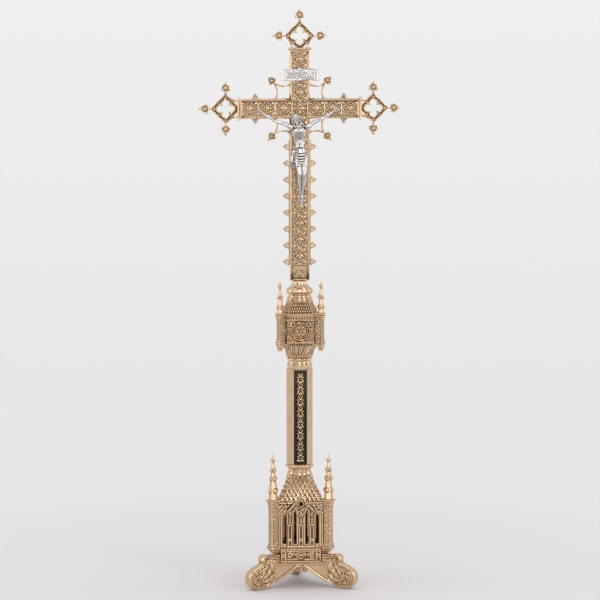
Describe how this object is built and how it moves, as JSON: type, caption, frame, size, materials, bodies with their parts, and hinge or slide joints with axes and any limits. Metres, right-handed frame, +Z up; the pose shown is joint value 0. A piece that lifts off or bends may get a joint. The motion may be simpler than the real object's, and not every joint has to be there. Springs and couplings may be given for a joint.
{
  "type": "altar cross",
  "caption": "Gothic altar cross: foliate cross with silvered figure, turned knop, hexagonal shaft and pinnacled three-footed base.",
  "frame": {"origin": "on the floor below the middle of the object's box; the shaft's axis is 18.8 mm in front of it", "axes": "+Z up; -Y is the front, which the figure faces; +X to the right seen from the front"},
  "size_m": [0.278, 0.1374, 0.8],
  "materials": {
    "brass": "polished cast brass, darkened in its recesses",
    "silver": "polished silver plate, darkened in its folds",
    "steel": "plain turned steel"
  },
  "bodies": {
    "stand": {"plinth": "brass", "rod_plate": "brass", "tie_rod": "steel", "rod_washer": "steel", "rod_nut": "steel", "base_roof": "brass", "base_collar": "brass", "shaft_foot_plate": "brass", "shaft": "brass", "shaft_head_collar": "brass", "knop_bowl": "brass", "knop_drum": "brass", "knop_roof": "brass", "neck": "brass", "cross_stud": "steel", "foot_right": "brass", "foot_back": "brass", "foot_left": "brass", "apron_front": "brass", "apron_right": "brass", "apron_left": "brass", "window_panel_front": "brass", "window_panel_right": "brass", "window_panel_left": "brass", "base_pier_right": "brass", "base_pier_back": "brass", "base_pier_left": "brass", "base_pinnacle_right": "brass", "base_pinnacle_back": "brass", "base_pinnacle_left": "brass", "knop_medallion_front": "brass", "knop_medallion_right": "brass", "knop_medallion_left": "brass", "knop_pier_right": "brass", "knop_pier_back": "brass", "knop_pier_left": "brass", "knop_pinnacle_right": "brass", "knop_pinnacle_back": "brass", "knop_pinnacle_left": "brass"},
    "cross": {"cross_body": "brass", "cross_back_plate": "brass", "stud_socket": "brass", "finial_top": "brass", "finial_left": "brass", "finial_right": "brass", "crocket_strip_left": "brass", "crocket_strip_right": "brass", "arm_crocket_upper_left": "brass", "arm_crocket_upper_right": "brass", "arm_crocket_lower_left": "brass", "arm_crocket_lower_right": "brass", "corner_bracket_upper_left": "brass", "corner_bracket_upper_right": "brass", "corner_bracket_lower_left": "brass", "corner_bracket_lower_right": "brass", "corpus": "silver", "nail_left_hand": "silver", "nail_right_hand": "silver", "nail_feet": "silver", "titulus": "silver"}
  },
  "joints": [
    {"name": "cross_lift", "type": "slide", "parent": "stand", "child": "cross", "axis": [0, 0, 1], "range_m": [0, 0.024]}
  ]
}
